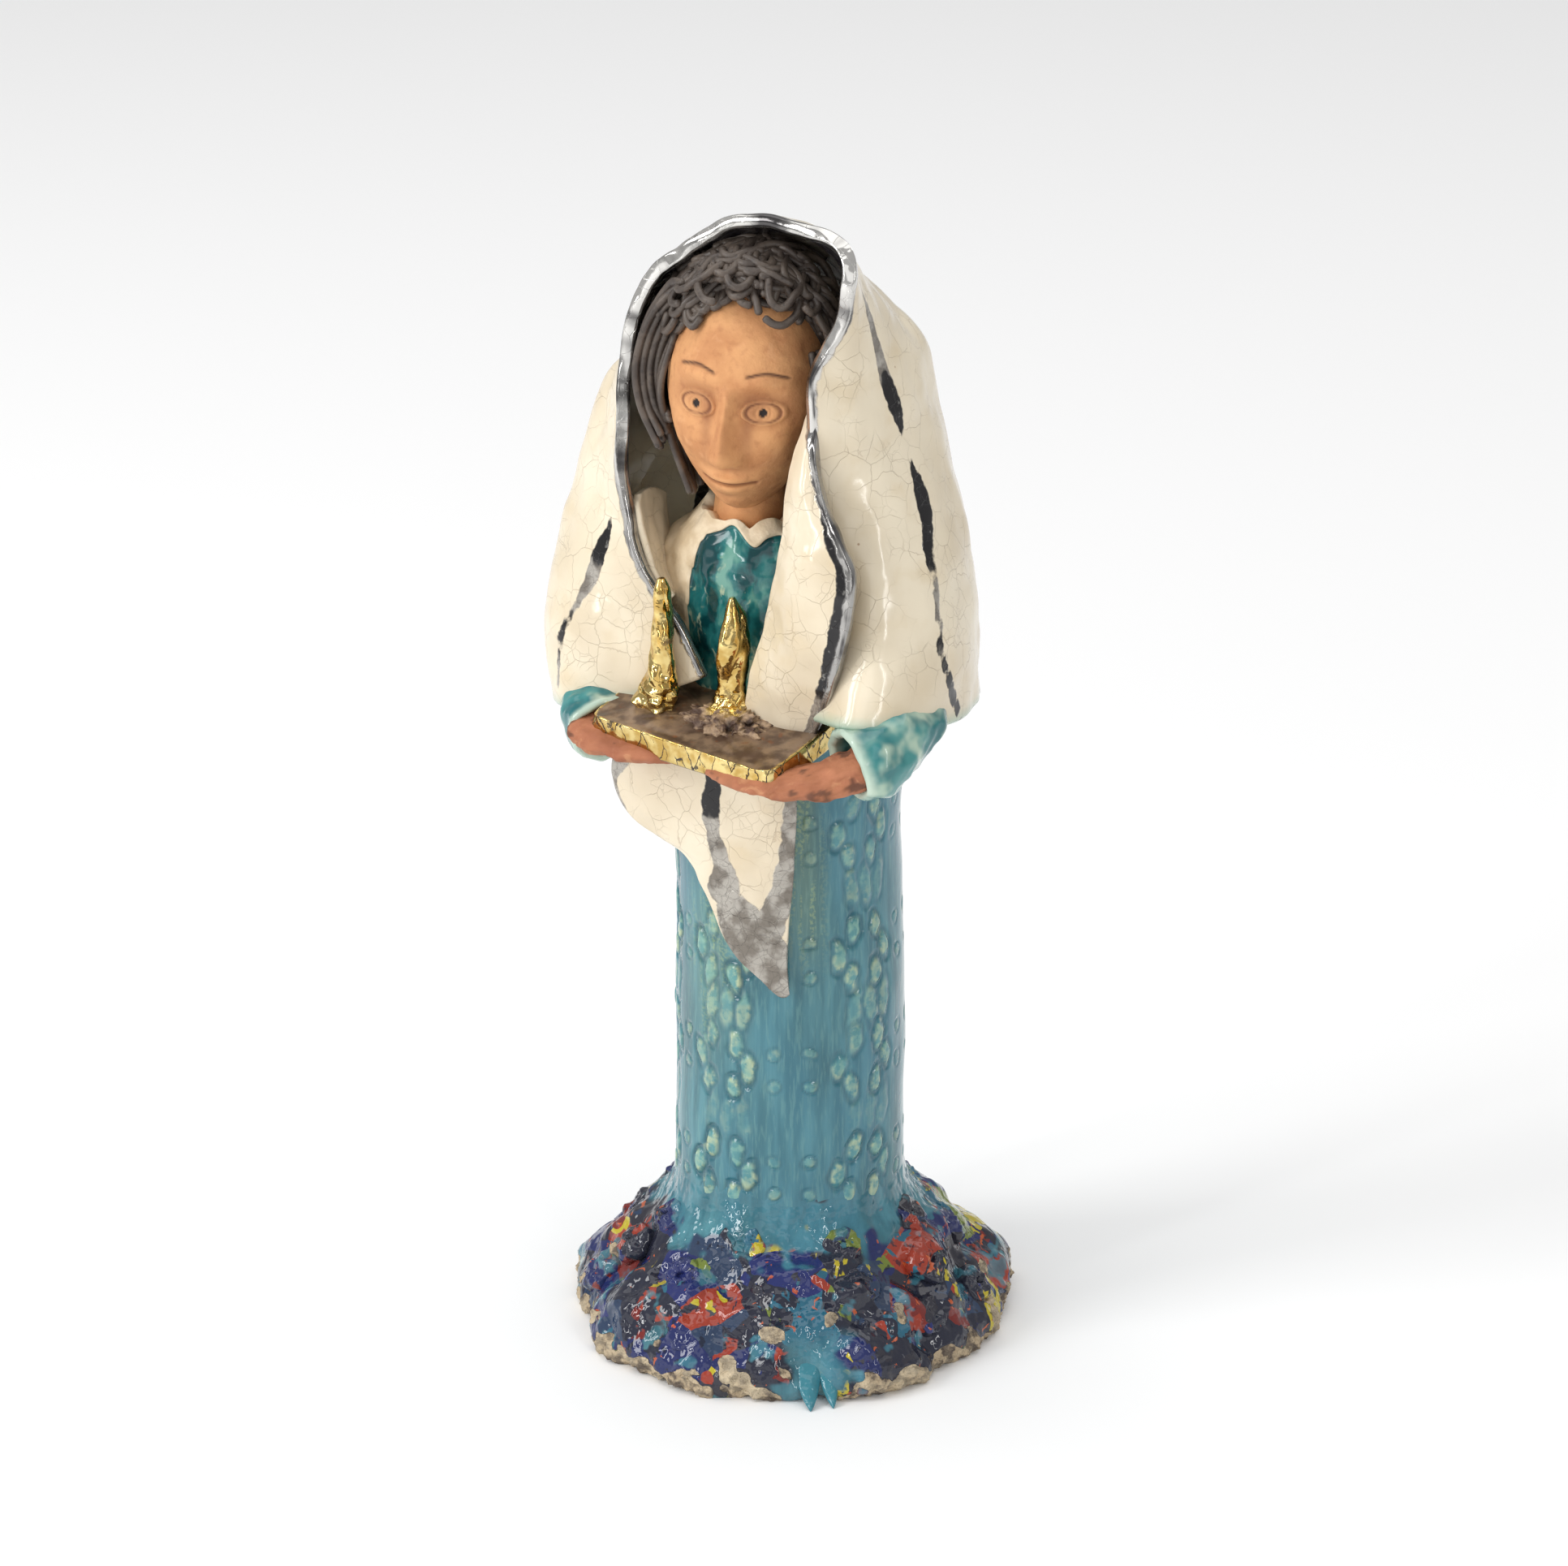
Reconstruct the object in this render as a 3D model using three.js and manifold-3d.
// A hand-built clay figurine: a hooded woman who holds a tray with two candlesticks.
// Millimetres, +Z up. The figure faces -Y, so its own left side is +X. It stands on Z = 0.
// Every named mesh is one lump of clay as the potter makes it, luted to its neighbours with slip.
import * as THREE from "three";
import { mergeVertices } from "three/addons/utils/BufferGeometryUtils.js";
import Module from "manifold-3d";

const wasm = await Module();
wasm.setup();

// ---------------------------------------------------------------- driving dimensions
const JOINT_GAP = 0.3; // slip line left open between two lumps of clay

const BASE_RADIUS = 56; // widest point of the mound
const BASE_HEIGHT = 36; // where the mound meets the dress
const BASE_SEAT = 8; // floor of the socket that the dress tube stands in
const BASE_FOOT = 4; // how far the rim undercuts to the ground ring

const DRESS_RADIUS = 29.3;
const DRESS_TOP = 170; // the tube ends here and the bodice begins
const DRESS_WALL = 5;

const BODICE_HEIGHT = 54;
const BODICE_WALL = 5;
const SHOULDER_HALF = 30;
const NECK_RADIUS = 8.5;
const NECK_SOCKET = 9; // depth of the neck plug in the bodice
const NECK_FORWARD = 16; // the neck leans out over the tray
const COLLAR_WIDTH = 4.5; // flat rim round the neck

const HEAD_WIDTH = 41;
const HEAD_DEPTH = 43;
const HEAD_HEIGHT = 61;
const CHIN_ABOVE_BODICE = 4;
const HEAD_TURN = 16; // degrees towards the figure's left
const HEAD_TILT = 4; // degrees towards the figure's left shoulder
const HEAD_ASIDE = -0.5; // the head's middle from the dress's axis, towards the figure's left
const HAIR_THICKNESS = 5;

const SHAWL_SLAB = 3.4;
const SHAWL_HALF_WIDTH = 57; // over the elbows
const SHAWL_HALF_DEPTH = 42;
const HOOD_ROOM = 12; // sideways room beside the head, for the locks of hair
const HOOD_RISE = 131; // hood's peak above the top of the dress tube
const TAIL_LENGTH = 66; // how far the shawl's end hangs below the top of the dress tube
const TAIL_STANDOFF = 1;

const TRAY_LENGTH = 57;
const TRAY_DEPTH = 29;
const TRAY_THICKNESS = 6.5;
const TRAY_TOP = 7.5; // its middle, above the top of the dress tube
const TRAY_TILT = 11; // degrees, front edge down
const TRAY_GAP = 1.5; // between the front fall of the shawl and the tray's back edge
const PALM_THICKNESS = 7;
const SLEEVE_RADIUS = 9.5;
const CUFF_RADIUS = 11;

const RIGHT_STICK_HEIGHT = 35;
const LEFT_STICK_HEIGHT = 31;
const STICK_RADIUS = 4.2;
const STICK_FOOT_RADIUS = 6;

const FLOWER_RADIUS = 4.6;
const FLOWER_HEIGHT = 3.2;
const FLOWER_LEAN = 40; // degrees outwards, to lie on the slope of the mound
const FLOWER_RINGS = [
  { share: 0.2, count: 8, turn: 10 },
  { share: 0.5, count: 11, turn: 0 },
  { share: 0.8, count: 14, turn: 14 },
]; // share is the way from the dress out to the rim

// ---------------------------------------------------------------- solids and meshes
const radians = THREE.MathUtils.degToRad;
const lerp = THREE.MathUtils.lerp;
const figure = new THREE.Group();

/** A closed three.js geometry as a manifold-3d solid. */
function solidOf(geometry) {
  const bare = new THREE.BufferGeometry();
  const plain = geometry.index ? geometry.toNonIndexed() : geometry;
  bare.setAttribute("position", plain.getAttribute("position"));
  const merged = mergeVertices(bare, 1e-4);
  return new wasm.Manifold(
    new wasm.Mesh({
      numProp: 3,
      vertProperties: new Float32Array(merged.attributes.position.array),
      triVerts: new Uint32Array(merged.index.array),
    }),
  );
}

/** The largest separate body of a solid, for a cut that leaves crumbs behind. */
function largest(solid) {
  const bodies = solid.decompose();
  return bodies.reduce((best, body) => (body.volume() > best.volume() ? body : best));
}

function geometryOf(solid) {
  const mesh = solid.getMesh();
  const positions = new Float32Array(mesh.numVert * 3);
  for (let i = 0; i < mesh.numVert; i++) {
    const at = i * mesh.numProp;
    positions.set(mesh.vertProperties.subarray(at, at + 3), i * 3);
  }
  const geometry = new THREE.BufferGeometry();
  geometry.setAttribute("position", new THREE.BufferAttribute(positions, 3));
  geometry.setIndex(new THREE.BufferAttribute(mesh.triVerts, 1));
  geometry.computeVertexNormals();
  return geometry;
}

function addPiece(name, solid, material) {
  const mesh = new THREE.Mesh(geometryOf(largest(solid)), material);
  mesh.name = name;
  figure.add(mesh);
}

/** Triangles from a grid of rings, closed round and capped at both ends. */
function loft(rings) {
  const sides = rings[0].length;
  const positions = [];
  const index = [];
  rings.forEach((ring) => ring.forEach((p) => positions.push(p.x, p.y, p.z)));
  for (let j = 0; j < rings.length - 1; j++) {
    for (let i = 0; i < sides; i++) {
      const a = j * sides + i;
      const b = j * sides + ((i + 1) % sides);
      index.push(a, b, b + sides, a, b + sides, a + sides);
    }
  }
  const cap = (ring, start, flip) => {
    const middle = ring.reduce((sum, p) => sum.add(p), new THREE.Vector3()).divideScalar(sides);
    const centre = positions.length / 3;
    positions.push(middle.x, middle.y, middle.z);
    for (let i = 0; i < sides; i++) {
      const a = start + i;
      const b = start + ((i + 1) % sides);
      index.push(centre, ...(flip ? [b, a] : [a, b]));
    }
  };
  cap(rings[0], 0, true);
  cap(rings[rings.length - 1], (rings.length - 1) * sides, false);
  const geometry = new THREE.BufferGeometry();
  geometry.setAttribute("position", new THREE.Float32BufferAttribute(positions, 3));
  geometry.setIndex(index);
  return solidOf(geometry);
}

/** A solid of rings whose points are given by pointAt(share of the way up, angle). */
function turned(levels, sides, pointAt) {
  const rings = [];
  for (let j = 0; j <= levels; j++) {
    const ring = [];
    for (let i = 0; i < sides; i++) {
      ring.push(pointAt(j / levels, (i / sides) * Math.PI * 2));
    }
    rings.push(ring);
  }
  return loft(rings);
}

/** A limb of round section along a curve, with its radii in order from start to end. */
function limb(points, radii, steps, sides, flatten = 1) {
  const curve = new THREE.CatmullRomCurve3(points);
  const frames = curve.computeFrenetFrames(steps, false);
  const rings = [];
  for (let j = 0; j <= steps; j++) {
    const centre = curve.getPoint(j / steps);
    const along = (j / steps) * (radii.length - 1);
    const k = Math.min(Math.floor(along), radii.length - 2);
    const radius = lerp(radii[k], radii[k + 1], along - k);
    const side = new THREE.Vector3(0, 0, 1).cross(frames.tangents[j]).normalize();
    const up = frames.tangents[j].clone().cross(side);
    const ring = [];
    for (let i = 0; i < sides; i++) {
      const a = (i / sides) * Math.PI * 2;
      ring.push(
        centre
          .clone()
          .addScaledVector(side, Math.cos(a) * radius)
          .addScaledVector(up, Math.sin(a) * radius * flatten),
      );
    }
    rings.push(ring);
  }
  return loft(rings);
}

/** A rolled slab of clay whose middle follows the control grid. grow swells it, for a joint gap. */
function slab(grid, thickness, columns, rows, grow = 0) {
  const points = [];
  for (let j = 0; j <= rows; j++) {
    const line = grid.map((row) => new THREE.CatmullRomCurve3(row, false, "centripetal"));
    for (let i = 0; i <= columns; i++) {
      const across = line.map((curve) => curve.getPoint(i / columns));
      points.push(new THREE.CatmullRomCurve3(across, false, "centripetal").getPoint(j / rows));
    }
  }
  const at = (i, j) => points[j * (columns + 1) + i];
  const clamp = (k, top) => Math.max(0, Math.min(top, k));
  const front = [];
  const back = [];
  for (let j = 0; j <= rows; j++) {
    for (let i = 0; i <= columns; i++) {
      const along = at(clamp(i + 1, columns), j).clone().sub(at(clamp(i - 1, columns), j));
      const down = at(i, clamp(j + 1, rows)).clone().sub(at(i, clamp(j - 1, rows)));
      const normal = along.cross(down).normalize();
      const edge = new THREE.Vector3();
      if (i === 0) edge.add(at(0, j).clone().sub(at(1, j)).setLength(grow));
      if (i === columns) edge.add(at(i, j).clone().sub(at(i - 1, j)).setLength(grow));
      if (j === 0) edge.add(at(i, 0).clone().sub(at(i, 1)).setLength(grow));
      if (j === rows) edge.add(at(i, j).clone().sub(at(i, j - 1)).setLength(grow));
      const half = thickness / 2 + grow;
      front.push(at(i, j).clone().add(edge).addScaledVector(normal, half));
      back.push(at(i, j).clone().add(edge).addScaledVector(normal, -half));
    }
  }
  const count = front.length;
  const index = [];
  const quad = (a, b, c, d) => index.push(a, b, c, a, c, d);
  const id = (i, j) => j * (columns + 1) + i;
  for (let j = 0; j < rows; j++) {
    for (let i = 0; i < columns; i++) {
      quad(id(i, j), id(i + 1, j), id(i + 1, j + 1), id(i, j + 1));
      quad(count + id(i, j), count + id(i, j + 1), count + id(i + 1, j + 1), count + id(i + 1, j));
    }
  }
  for (let i = 0; i < columns; i++) {
    quad(id(i + 1, 0), id(i, 0), count + id(i, 0), count + id(i + 1, 0));
    quad(id(i, rows), id(i + 1, rows), count + id(i + 1, rows), count + id(i, rows));
  }
  for (let j = 0; j < rows; j++) {
    quad(id(0, j), id(0, j + 1), count + id(0, j + 1), count + id(0, j));
    quad(id(columns, j + 1), id(columns, j), count + id(columns, j), count + id(columns, j + 1));
  }
  const geometry = new THREE.BufferGeometry();
  const flat = [...front, ...back].flatMap((p) => [p.x, p.y, p.z]);
  geometry.setAttribute("position", new THREE.Float32BufferAttribute(flat, 3));
  geometry.setIndex(index);
  const solid = solidOf(geometry);
  if (solid.volume() > 0) return solid;
  geometry.setIndex(index.map((_, k) => index[k - (k % 3) + (2 - (k % 3))]));
  return solidOf(geometry);
}

/** An ellipsoid at a centre. */
function ellipsoid(centre, halves, sides) {
  const geometry = new THREE.SphereGeometry(1, sides, Math.round(sides * 0.7));
  geometry.scale(halves.x, halves.z, halves.y);
  geometry.rotateX(Math.PI / 2);
  geometry.translate(centre.x, centre.y, centre.z);
  return solidOf(geometry);
}

/** A flower pressed from a pellet: a scalloped rim round a dimple, on a stub that beds in the mound. */
function flowerShape(radius, height, turn) {
  const levels = [
    [0.6, -0.7],
    [1, 0.5],
    [0.7, 1],
    [0.25, 0.7],
  ];
  const rings = levels.map(([wide, up]) =>
    Array.from({ length: 10 }, (_, i) => {
      const angle = (i / 10) * Math.PI * 2;
      const petal = i % 2 === 0 ? 0.84 : 1.08;
      const r = radius * wide * petal;
      return new THREE.Vector3(Math.cos(angle + turn) * r, Math.sin(angle + turn) * r, up * height);
    }),
  );
  return loft(rings);
}

/** A plain upright cylinder between two heights. */
function cylinder(radius, bottom, top, sides, x = 0, y = 0) {
  const geometry = new THREE.CylinderGeometry(radius, radius, top - bottom, sides);
  geometry.rotateX(Math.PI / 2);
  geometry.translate(x, y, (top + bottom) / 2);
  return solidOf(geometry);
}

const clay = (colour, roughness, metalness = 0) =>
  new THREE.MeshStandardMaterial({ color: colour, roughness, metalness });
const turquoiseGlaze = clay(0x4c8c9b, 0.15);
const creamGlaze = clay(0xe4d8c0, 0.2);
const terracotta = clay(0xc8894f, 0.8);
const handClay = clay(0xb87a55, 0.8);
const darkClay = clay(0x4a423f, 0.6);
const goldLustre = clay(0xd9b860, 0.15, 1);
const trayClay = clay(0x7a5c48, 0.4);
const moundClay = clay(0x3c6f86, 0.3);
const flowerGlazes = [clay(0xd9cf2e, 0.2), clay(0xb23a2a, 0.2), clay(0x24305f, 0.2), clay(0x2d2f38, 0.2)];

// ---------------------------------------------------------------- base
const SIDES = 32;
const boreRadius = DRESS_RADIUS - DRESS_WALL;

/** Rim radius of the mound at an angle: round, with the dents of hand pressing. */
function rimRadius(angle) {
  return BASE_RADIUS * (0.965 + 0.022 * Math.sin(3 * angle + 0.6) + 0.013 * Math.sin(7 * angle));
}

/** Height of the mound's outer surface at a share of the way from the dress out to the rim. */
function moundHeight(share) {
  return BASE_HEIGHT * (1 - 0.62 * share - 0.24 * share * share);
}

/** The mound as a solid of revolution with a dented rim, swollen by grow. */
function moundSolid(grow = 0) {
  const inner = DRESS_RADIUS + JOINT_GAP;
  const profile = [
    [0, 0, -BASE_FOOT],
    [1, 0, -BASE_FOOT],
    [1, 3, -1],
    [1, 6, 0],
  ];
  const slope = [0.85, 0.65, 0.45, 0.25, 0.08, 0];
  return turned(profile.length + slope.length - 1, SIDES, (share, angle) => {
    const k = Math.round(share * (profile.length + slope.length - 1));
    const rim = rimRadius(angle);
    let radius = 0;
    let height = 0;
    if (k < profile.length) {
      const [out, z, inset] = profile[k];
      radius = out === 0 ? boreRadius : rim + inset + grow;
      height = k === 0 ? -grow : z - (z === 0 ? grow : 0);
    } else {
      const s = slope[k - profile.length];
      radius = lerp(inner, rim, s) + grow;
      height = moundHeight(s) + grow;
    }
    return new THREE.Vector3(Math.cos(angle) * radius, Math.sin(angle) * radius, height);
  });
}

function base() {
  const socket = cylinder(DRESS_RADIUS + JOINT_GAP, BASE_SEAT, BASE_HEIGHT + 5, SIDES);
  const bore = cylinder(boreRadius, -1, BASE_HEIGHT, SIDES);
  addPiece("base_mound", moundSolid().subtract(socket).subtract(bore), moundClay);
}

function flowers() {
  const mound = moundSolid(JOINT_GAP);
  const dress = cylinder(DRESS_RADIUS + JOINT_GAP, 0, DRESS_TOP, SIDES);
  let number = 0;
  for (const ring of FLOWER_RINGS) {
    for (let k = 0; k < ring.count; k++) {
      const angle = radians(ring.turn + (360 * k) / ring.count);
      const radius = lerp(DRESS_RADIUS, rimRadius(angle), ring.share);
      const size = FLOWER_RADIUS * (1 + 0.16 * Math.sin(5 * number));
      const outwards = new THREE.Vector3(Math.cos(angle), Math.sin(angle), 0);
      const lean = new THREE.Quaternion().setFromAxisAngle(
        new THREE.Vector3(-outwards.y, outwards.x, 0),
        radians(FLOWER_LEAN),
      );
      const place = new THREE.Matrix4().compose(
        outwards.clone().multiplyScalar(radius).setZ(moundHeight(ring.share) + 1),
        lean,
        new THREE.Vector3(1, 1, 1),
      );
      const lump = flowerShape(size, FLOWER_HEIGHT, number).transform(place.elements);
      number += 1;
      const name = "base_flower_" + String(number).padStart(2, "0");
      const glaze = flowerGlazes[number % flowerGlazes.length];
      addPiece(name, lump.subtract(mound).subtract(dress), glaze);
    }
  }
}

// ---------------------------------------------------------------- dress and bodice
function dress() {
  const wobble = (angle, z) => 0.35 * Math.sin(2 * angle + z / 25);
  const outer = turned(6, SIDES, (share, angle) => {
    const z = lerp(BASE_SEAT + JOINT_GAP, DRESS_TOP, share);
    const radius = DRESS_RADIUS - 0.35 + (z > BASE_HEIGHT + 5 ? wobble(angle, z) : 0);
    return new THREE.Vector3(Math.cos(angle) * radius, Math.sin(angle) * radius, z);
  });
  addPiece("dress_tube", outer.subtract(cylinder(boreRadius, 0, DRESS_TOP + 1, SIDES)), turquoiseGlaze);
}

const neckTop = DRESS_TOP + BODICE_HEIGHT;
const neckX = 1;
const neckY = -NECK_FORWARD;

/** Outline of the bodice: [height share, half width, half depth, forward lean of the centre]. */
const bodiceLevels = [
  [0, DRESS_RADIUS, DRESS_RADIUS, 0],
  [0.12, DRESS_RADIUS, DRESS_RADIUS * 0.87, 0],
  [0.34, SHOULDER_HALF, DRESS_RADIUS * 0.85, 0.1],
  [0.58, SHOULDER_HALF, DRESS_RADIUS * 0.76, 0.4],
  [0.78, SHOULDER_HALF * 0.82, DRESS_RADIUS * 0.66, 0.7],
  [0.91, SHOULDER_HALF * 0.6, DRESS_RADIUS * 0.52, 0.92],
  [1, NECK_RADIUS + COLLAR_WIDTH, NECK_RADIUS + COLLAR_WIDTH, 1],
];

function bodiceShape(inset, bottom, top) {
  const rings = bodiceLevels.map(([share, halfWidth, halfDepth, lean], level) => {
    const last = level === bodiceLevels.length - 1;
    const z = level === 0 ? bottom : last ? top : DRESS_TOP + share * BODICE_HEIGHT;
    return Array.from({ length: 24 }, (_, i) => {
      const angle = (i / 24) * Math.PI * 2;
      return new THREE.Vector3(
        neckX * lean + Math.cos(angle) * (halfWidth - inset),
        neckY * lean + Math.sin(angle) * (halfDepth - inset),
        z - (last || level === 0 ? 0 : inset * share),
      );
    });
  });
  return loft(rings);
}

function bodice() {
  const outer = bodiceShape(0, DRESS_TOP + JOINT_GAP, neckTop);
  const hollow = bodiceShape(BODICE_WALL, DRESS_TOP - 1, neckTop - BODICE_WALL);
  const holeBottom = neckTop - NECK_SOCKET - 1;
  const neckHole = cylinder(NECK_RADIUS + JOINT_GAP, holeBottom, neckTop + 1, 24, neckX, neckY);
  addPiece("bodice", outer.subtract(hollow).subtract(neckHole), turquoiseGlaze);
}

// ---------------------------------------------------------------- head and hair
const headCentre = new THREE.Vector3(
  HEAD_ASIDE,
  neckY - 1,
  neckTop + CHIN_ABOVE_BODICE + HEAD_HEIGHT / 2 - 2,
);

function headShape(grow) {
  const halves = new THREE.Vector3(HEAD_WIDTH / 2 + grow, HEAD_DEPTH / 2 + grow, HEAD_HEIGHT / 2 + grow);
  const geometry = new THREE.SphereGeometry(1, 20, 12);
  geometry.rotateX(Math.PI / 2);
  const p = geometry.getAttribute("position");
  for (let i = 0; i < p.count; i++) {
    const z = p.getZ(i);
    const jaw = z < 0 ? 1 + 0.2 * z : 1; // the face narrows to the chin
    p.setXYZ(i, p.getX(i) * halves.x * jaw, p.getY(i) * halves.y * jaw, z * halves.z);
  }
  geometry.rotateY(radians(HEAD_TILT));
  geometry.rotateZ(radians(HEAD_TURN));
  geometry.translate(headCentre.x, headCentre.y, headCentre.z);
  return solidOf(geometry);
}

function neckShape(grow) {
  const bottom = neckTop - NECK_SOCKET - grow;
  return cylinder(NECK_RADIUS + grow, bottom, headCentre.z - HEAD_HEIGHT * 0.25, 20, neckX, neckY);
}

/** A nose: a small wedge pinched out of the front of the face. */
function noseShape() {
  const front = headCentre.y - HEAD_DEPTH / 2;
  const side = Math.sin(radians(HEAD_TURN)) * (HEAD_DEPTH / 2);
  const middle = headCentre.x + side;
  return limb(
    [
      new THREE.Vector3(middle, front + 3, headCentre.z + 1),
      new THREE.Vector3(middle, front + 1.5, headCentre.z - 4),
      new THREE.Vector3(middle, front + 1.5, headCentre.z - 8),
    ],
    [1.5, 2.5, 3],
    6,
    8,
  );
}

function head() {
  addPiece("head", headShape(0).add(neckShape(0)).add(noseShape()), terracotta);
}

/** Hair lies on the skull as a shell. Each piece keeps its own part of the shell. */
function hair() {
  const skull = headShape(JOINT_GAP).add(neckShape(JOINT_GAP));
  const shell = headShape(HAIR_THICKNESS + JOINT_GAP).subtract(skull).subtract(mantleCut);
  const top = headCentre.z + HEAD_HEIGHT * 0.22;
  const reach = HEAD_WIDTH;
  const block = (low, high) => {
    const box = new THREE.BoxGeometry(high.x - low.x, high.y - low.y, high.z - low.z);
    box.translate((low.x + high.x) / 2, (low.y + high.y) / 2, (low.z + high.z) / 2);
    return solidOf(box);
  };
  const at = (x, y, z) => new THREE.Vector3(headCentre.x + x, headCentre.y + y, z);
  const crown = shell.intersect(block(at(-reach, -reach, top), at(reach, reach, top + HEAD_HEIGHT)));
  const under = top - JOINT_GAP;
  const chin = neckTop + JOINT_GAP;
  const sides = HEAD_WIDTH * 0.18;
  const frontLine = -HEAD_DEPTH * 0.3;
  const backLine = HEAD_DEPTH * 0.12;
  const rightLock = shell.intersect(block(at(-reach, frontLine, chin + 14), at(-sides, backLine, under)));
  const leftLock = shell.intersect(block(at(sides, frontLine + 4, chin + 14), at(reach, backLine, under)));
  const nape = shell.intersect(block(at(-reach, backLine + JOINT_GAP, chin + 8), at(reach, reach, under)));
  addPiece("hair_crown", crown, darkClay);
  addPiece("hair_lock_right", rightLock, darkClay);
  addPiece("hair_lock_left", leftLock, darkClay);
  addPiece("hair_nape", nape, darkClay);
}

// ---------------------------------------------------------------- shawl
// Control points of the mantle, hem first and the hood's rim last. In a row the points run from the
// left rim round the back to the right rim. x and y are shares of the row's half width and half depth,
// and the third number is the share of the way from the top of the dress tube up to the hood's peak.
// hood says how far the row takes its size from the head instead of from the elbows.
const mantleRows = [
  {
    hood: 0,
    points: [
      [0.19, -0.66, 0.09], [0.6, -0.78, 0.13], [0.98, -0.72, 0.1], [1, -0.05, 0.046], [0.67, 0.62, -0.015],
      [0, 0.9, -0.06], [-0.67, 0.62, -0.023], [-0.96, -0.05, 0.015], [-0.91, -0.71, 0.023],
      [-0.5, -0.66, 0.045], [-0.04, -0.7, 0.13],
    ],
  },
  {
    hood: 0,
    points: [
      [0.26, -0.7, 0.23], [0.6, -0.71, 0.25], [0.93, -0.57, 0.237], [0.96, -0.02, 0.21],
      [0.67, 0.6, 0.18], [0, 0.9, 0.16], [-0.67, 0.6, 0.175], [-0.93, -0.05, 0.19],
      [-0.88, -0.67, 0.2], [-0.55, -0.76, 0.21], [-0.2, -0.75, 0.215],
    ],
  },
  {
    hood: 0,
    points: [
      [0.35, -0.72, 0.36], [0.6, -0.62, 0.39], [0.84, -0.4, 0.39], [0.88, 0.05, 0.38],
      [0.61, 0.55, 0.366], [0, 0.83, 0.36], [-0.63, 0.52, 0.36], [-0.84, 0, 0.366],
      [-0.79, -0.48, 0.366], [-0.63, -0.67, 0.36], [-0.44, -0.73, 0.335],
    ],
  },
  {
    hood: 0.5,
    points: [
      [0.55, -0.74, 0.534], [0.72, -0.57, 0.54], [0.9, -0.31, 0.55], [0.93, 0.08, 0.557],
      [0.65, 0.52, 0.557], [0, 0.78, 0.557], [-0.67, 0.5, 0.55], [-0.89, 0, 0.55],
      [-0.87, -0.37, 0.54], [-0.78, -0.62, 0.54], [-0.62, -0.81, 0.55],
    ],
  },
  {
    hood: 1,
    points: [
      [0.81, -0.9, 0.656], [0.97, -0.64, 0.67], [1.12, -0.32, 0.687], [1.15, 0.06, 0.7],
      [0.76, 0.52, 0.71], [0, 0.73, 0.718], [-0.73, 0.46, 0.71], [-1.03, 0, 0.7],
      [-1.1, -0.32, 0.695], [-1.03, -0.61, 0.695], [-0.9, -0.87, 0.692],
    ],
  },
  {
    hood: 1,
    points: [
      [0.96, -0.87, 0.824], [1.03, -0.61, 0.817], [1.03, -0.32, 0.817], [0.94, -0.03, 0.817],
      [0.61, 0.29, 0.824], [0.06, 0.46, 0.83], [-0.46, 0.29, 0.824], [-0.79, -0.03, 0.817],
      [-0.88, -0.32, 0.817], [-0.87, -0.58, 0.817], [-0.79, -0.84, 0.813],
    ],
  },
  {
    hood: 1,
    points: [
      [1.07, -0.84, 0.924], [1.02, -0.64, 0.916], [0.91, -0.44, 0.908], [0.73, -0.23, 0.908],
      [0.46, -0.06, 0.916], [0.15, 0.03, 0.924], [-0.15, -0.06, 0.912], [-0.4, -0.23, 0.9],
      [-0.55, -0.41, 0.893], [-0.61, -0.61, 0.89], [-0.61, -0.8, 0.885],
    ],
  },
  {
    hood: 1,
    points: [
      [0.98, -0.81, 0.98], [0.88, -0.78, 0.989], [0.76, -0.76, 0.996], [0.58, -0.74, 1],
      [0.37, -0.73, 1], [0.18, -0.73, 1], [0, -0.74, 0.99], [-0.15, -0.75, 0.974],
      [-0.27, -0.76, 0.957], [-0.38, -0.78, 0.94], [-0.49, -0.79, 0.916],
    ],
  },
];

const hoodHalfWidth = HEAD_WIDTH / 2 + HOOD_ROOM;
const hoodHalfDepth = HEAD_DEPTH / 2 + HOOD_ROOM + 1;

const mantleGrid = mantleRows.map(({ hood, points }) =>
  points.map(([x, y, rise]) => {
    const halfWidth = lerp(SHAWL_HALF_WIDTH, hoodHalfWidth, hood);
    const halfDepth = lerp(SHAWL_HALF_DEPTH, hoodHalfDepth, hood);
    return new THREE.Vector3(x * halfWidth, y * halfDepth, DRESS_TOP + rise * HOOD_RISE);
  }),
);

function mantleSolid(grow) {
  return slab(mantleGrid, SHAWL_SLAB, 30, 14, grow);
}

// The lapel's fold and its free edge, from the chin down to the tray. x and y are shares of the
// shawl's half width and half depth, and the third number is the share of the way up to the hood's peak.
const lapelFold = [
  [0.386, -0.714, 0.611], [0.396, -0.762, 0.529], [0.381, -0.798, 0.45], [0.339, -0.821, 0.369],
  [0.251, -0.805, 0.249], [0.167, -0.774, 0.133], [0.123, -0.75, 0.065],
];
const lapelEdge = [
  [0.526, -0.762, 0.641], [0.544, -0.786, 0.553], [0.64, -0.833, 0.489], [0.702, -0.881, 0.42],
  [0.684, -0.893, 0.309], [0.596, -0.857, 0.189], [0.509, -0.75, 0.0725],
];

/** The left front fall, folded outwards like a lapel. */
function lapelGrid() {
  const at = ([x, y, rise]) =>
    new THREE.Vector3(x * SHAWL_HALF_WIDTH, y * SHAWL_HALF_DEPTH, DRESS_TOP + rise * HOOD_RISE);
  return lapelFold.map((fold, k) => {
    const start = at(fold);
    const end = at(lapelEdge[k]);
    const crest = start.clone().lerp(end, 0.5).add(new THREE.Vector3(-0.5, -2, 0));
    return [start, crest, end];
  });
}

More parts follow.
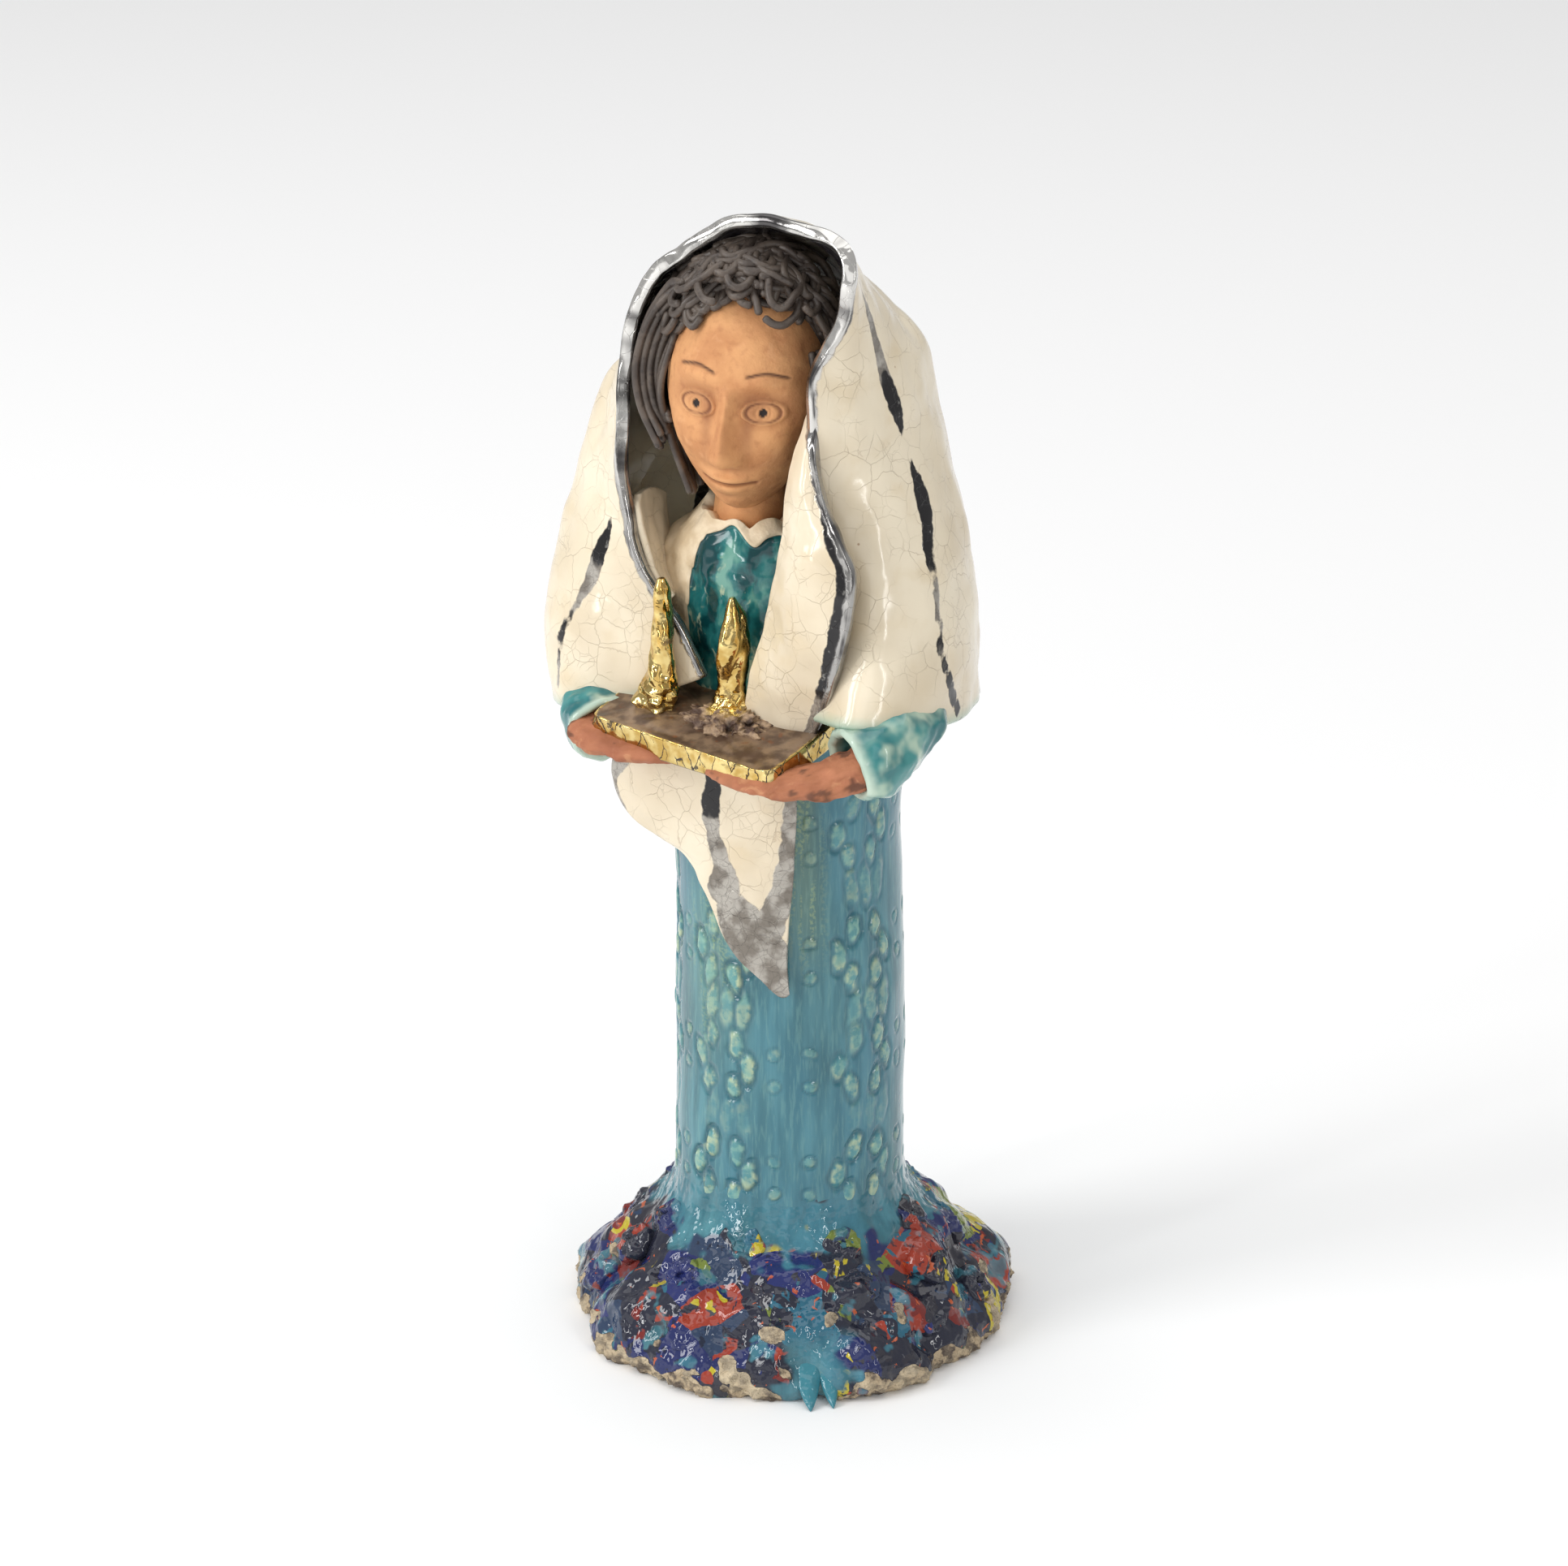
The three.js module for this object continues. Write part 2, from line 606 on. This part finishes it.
/** The shawl's right end, hanging below the tray against the dress: rows from the top to the tip. */
function tailGrid() {
  const rest = DRESS_RADIUS + SHAWL_SLAB / 2 + TAIL_STANDOFF;
  const onDress = (degrees, drop, off = 0) => {
    const a = radians(degrees);
    return new THREE.Vector3(
      Math.sin(a) * (rest + off),
      -Math.cos(a) * (rest + off),
      DRESS_TOP - drop * TAIL_LENGTH,
    );
  };
  return [
    [onDress(-36, -0.01, 9), onDress(-14, -0.01, 5), onDress(10, -0.01, 3), onDress(38, -0.01, 1)],
    [onDress(-44, 0.2, 13), onDress(-17, 0.18, 6), onDress(12, 0.18, 3), onDress(40, 0.16, 1)],
    [onDress(-33, 0.42, 5), onDress(-10, 0.44, 3), onDress(14, 0.42, 2), onDress(38, 0.4, 0.5)],
    [onDress(-4, 0.67, 1), onDress(8, 0.67, 1), onDress(20, 0.67, 0.5), onDress(32, 0.66, 0)],
    [onDress(23, 0.96, 0), onDress(26, 0.985, 0), onDress(28.5, 1, 0), onDress(31, 0.99, 0)],
  ];
}

// ---------------------------------------------------------------- arms, tray and candlesticks
const trayTop = DRESS_TOP + TRAY_TOP;
const frontFallY = -SHAWL_HALF_DEPTH * 0.5;
const trayCentre = new THREE.Vector3(1, frontFallY - TRAY_GAP - TRAY_DEPTH / 2, trayTop);

/** Height of the tray's tilted top at a distance back. */
function trayHeight(y) {
  return trayTop + (y - trayCentre.y) * Math.tan(radians(TRAY_TILT));
}

function sleevePath(side) {
  const reach = SHAWL_HALF_WIDTH - CUFF_RADIUS - SHAWL_SLAB;
  const cuffX = TRAY_LENGTH / 2 + (side > 0 ? 13 : 7);
  const cuffY = trayCentre.y - (side > 0 ? 6 : 1);
  return [
    new THREE.Vector3(side * (SHOULDER_HALF + 5), 0, DRESS_TOP + 37),
    new THREE.Vector3(side * (reach - 1), -6, DRESS_TOP + 26),
    new THREE.Vector3(side * (reach + 1), -17, DRESS_TOP + 14),
    new THREE.Vector3(side * reach, -29, DRESS_TOP + (side > 0 ? 8 : 4)),
    new THREE.Vector3(side * cuffX, cuffY, DRESS_TOP + (side > 0 ? 5 : 0)),
  ];
}

function sleeveShape(side, grow = 0) {
  const radii = [SLEEVE_RADIUS - 2, SLEEVE_RADIUS - 1, SLEEVE_RADIUS, SLEEVE_RADIUS, CUFF_RADIUS];
  return limb(sleevePath(side), radii.map((r) => r + grow), 9, 14);
}

/** A palm and its wrist plug: the wrist goes into the cuff, the flat palm lies under the tray. */
function handShape(side, grow) {
  const wrist = sleevePath(side).pop();
  const palmZ = trayHeight(trayCentre.y - 7) - TRAY_THICKNESS - JOINT_GAP - PALM_THICKNESS / 2;
  const tip = side > 0 ? 9 : -6;
  const path = [
    wrist.clone().add(new THREE.Vector3(side * 5, 5, 0)),
    wrist.clone().add(new THREE.Vector3(-side * 3, -1, -2)),
    new THREE.Vector3(lerp(wrist.x, tip, 0.35), trayCentre.y - 8, palmZ),
    new THREE.Vector3(lerp(wrist.x, tip, 0.7), trayCentre.y - 7, palmZ),
    new THREE.Vector3(tip, trayCentre.y - 7, palmZ + 0.5),
  ];
  const radii = [5.5, 6.5, 8, 7.5, 3].map((r) => r + grow);
  return limb(path, radii, 9, 12, PALM_THICKNESS / 15);
}

function trayShape(grow) {
  const outline = new THREE.Shape();
  const halfLength = TRAY_LENGTH / 2 + grow;
  const halfDepth = TRAY_DEPTH / 2 + grow;
  const corner = 4;
  outline.moveTo(-halfLength + corner, -halfDepth);
  outline.lineTo(halfLength - corner, -halfDepth);
  outline.quadraticCurveTo(halfLength, -halfDepth, halfLength, -halfDepth + corner);
  outline.lineTo(halfLength - 2, halfDepth - corner);
  outline.quadraticCurveTo(halfLength - 2, halfDepth, halfLength - 2 - corner, halfDepth);
  outline.lineTo(-halfLength + 3 + corner, halfDepth);
  outline.quadraticCurveTo(-halfLength + 3, halfDepth, -halfLength + 3, halfDepth - corner);
  outline.lineTo(-halfLength, -halfDepth + corner);
  outline.quadraticCurveTo(-halfLength, -halfDepth, -halfLength + corner, -halfDepth);
  const geometry = new THREE.ExtrudeGeometry(outline, {
    depth: TRAY_THICKNESS + 2 * grow,
    bevelEnabled: false,
    curveSegments: 4,
  });
  geometry.translate(0, 0, -TRAY_THICKNESS - grow);
  geometry.rotateZ(radians(-3));
  geometry.rotateX(radians(TRAY_TILT));
  geometry.translate(trayCentre.x, trayCentre.y, trayTop);
  return solidOf(geometry);
}

/** A pinched candlestick: a flared foot, a lumpy stem and a flame that leans a little. */
function candlestickShape(stick, grow) {
  const outline = [
    [0, 1], [0.1, 0.95], [0.2, 0.78], [0.36, 0.86], [0.52, 0.62],
    [0.68, 0.74], [0.82, 0.48], [0.93, 0.42], [1, 0.12],
  ];
  const foot = trayTop - TRAY_THICKNESS * 0.4 - grow;
  const rings = outline.map(([share, wide]) =>
    Array.from({ length: 12 }, (_, i) => {
      const angle = (i / 12) * Math.PI * 2;
      const limit = lerp(STICK_FOOT_RADIUS, STICK_RADIUS * 1.2, Math.min(1, share * 5));
      const radius = limit * wide * (1 + 0.08 * Math.sin(3 * angle + share * 9)) + grow;
      return new THREE.Vector3(
        trayCentre.x + stick.x + Math.cos(angle) * radius + stick.lean * share,
        trayCentre.y + Math.sin(angle) * radius,
        foot + share * (stick.height + 2 * grow),
      );
    }),
  );
  return loft(rings);
}

const rightStick = { x: -TRAY_LENGTH * 0.28, height: RIGHT_STICK_HEIGHT, lean: 3 };
const leftStick = { x: TRAY_LENGTH * 0.06, height: LEFT_STICK_HEIGHT, lean: 1 };

/** The crumbled ridge of clay that beds the left candlestick. */
function beddingShape() {
  const y = trayCentre.y - 4;
  const centre = new THREE.Vector3(trayCentre.x + leftStick.x + 2, y, trayHeight(y));
  return ellipsoid(centre, new THREE.Vector3(12, 7, 3.5), 12);
}

// ---------------------------------------------------------------- assembly
const mantleCut = mantleSolid(JOINT_GAP);
const lapelCut = slab(lapelGrid(), SHAWL_SLAB, 5, 12, JOINT_GAP);
const tailCut = slab(tailGrid(), SHAWL_SLAB, 7, 9, JOINT_GAP);
const trayCut = trayShape(JOINT_GAP);
const bodiceCut = bodiceShape(-JOINT_GAP, DRESS_TOP, neckTop + JOINT_GAP);
const dressCut = cylinder(DRESS_RADIUS + JOINT_GAP, 0, DRESS_TOP + JOINT_GAP, SIDES);
const headCut = headShape(JOINT_GAP).add(neckShape(JOINT_GAP));
const bodyCuts = [bodiceCut, dressCut, headCut];

/** A shape less the room that its neighbours and their joint gaps take. */
function fitted(solid, neighbours) {
  return neighbours.reduce((rest, neighbour) => rest.subtract(neighbour), solid);
}

function shawl() {
  const lapel = slab(lapelGrid(), SHAWL_SLAB, 5, 12);
  const tail = slab(tailGrid(), SHAWL_SLAB, 7, 9);
  addPiece("shawl_mantle", fitted(mantleSolid(0), bodyCuts), creamGlaze);
  addPiece("shawl_lapel", fitted(lapel, [mantleCut, ...bodyCuts]), creamGlaze);
  addPiece("shawl_tail", fitted(tail, [mantleCut, trayCut, ...bodyCuts]), creamGlaze);
}

function arms() {
  const around = [mantleCut, lapelCut, tailCut, trayCut, ...bodyCuts];
  for (const [side, word] of [
    [-1, "right"],
    [1, "left"],
  ]) {
    const wristCut = handShape(side, JOINT_GAP);
    addPiece("sleeve_" + word, fitted(sleeveShape(side), [wristCut, ...around]), turquoiseGlaze);
    addPiece("hand_" + word, fitted(handShape(side, 0), around), handClay);
  }
}

function trayFittings() {
  const behind = [trayCut, mantleCut, lapelCut];
  const bedding = fitted(beddingShape(), [...behind, candlestickShape(leftStick, JOINT_GAP)]);
  addPiece("tray", fitted(trayShape(0), [mantleCut, lapelCut, ...bodyCuts]), trayClay);
  addPiece("candlestick_right", fitted(candlestickShape(rightStick, 0), behind), goldLustre);
  addPiece("candlestick_left", fitted(candlestickShape(leftStick, 0), behind), goldLustre);
  addPiece("candlestick_bedding", bedding, trayClay);
}

base();
flowers();
dress();
bodice();
head();
shawl();
hair();
arms();
trayFittings();

// The frame's origin is the middle of the footprint of the whole figurine.
const box = new THREE.Box3().setFromObject(figure);
const middle = box.getCenter(new THREE.Vector3());
figure.position.set(-middle.x, -middle.y, -box.min.z);

export default figure;
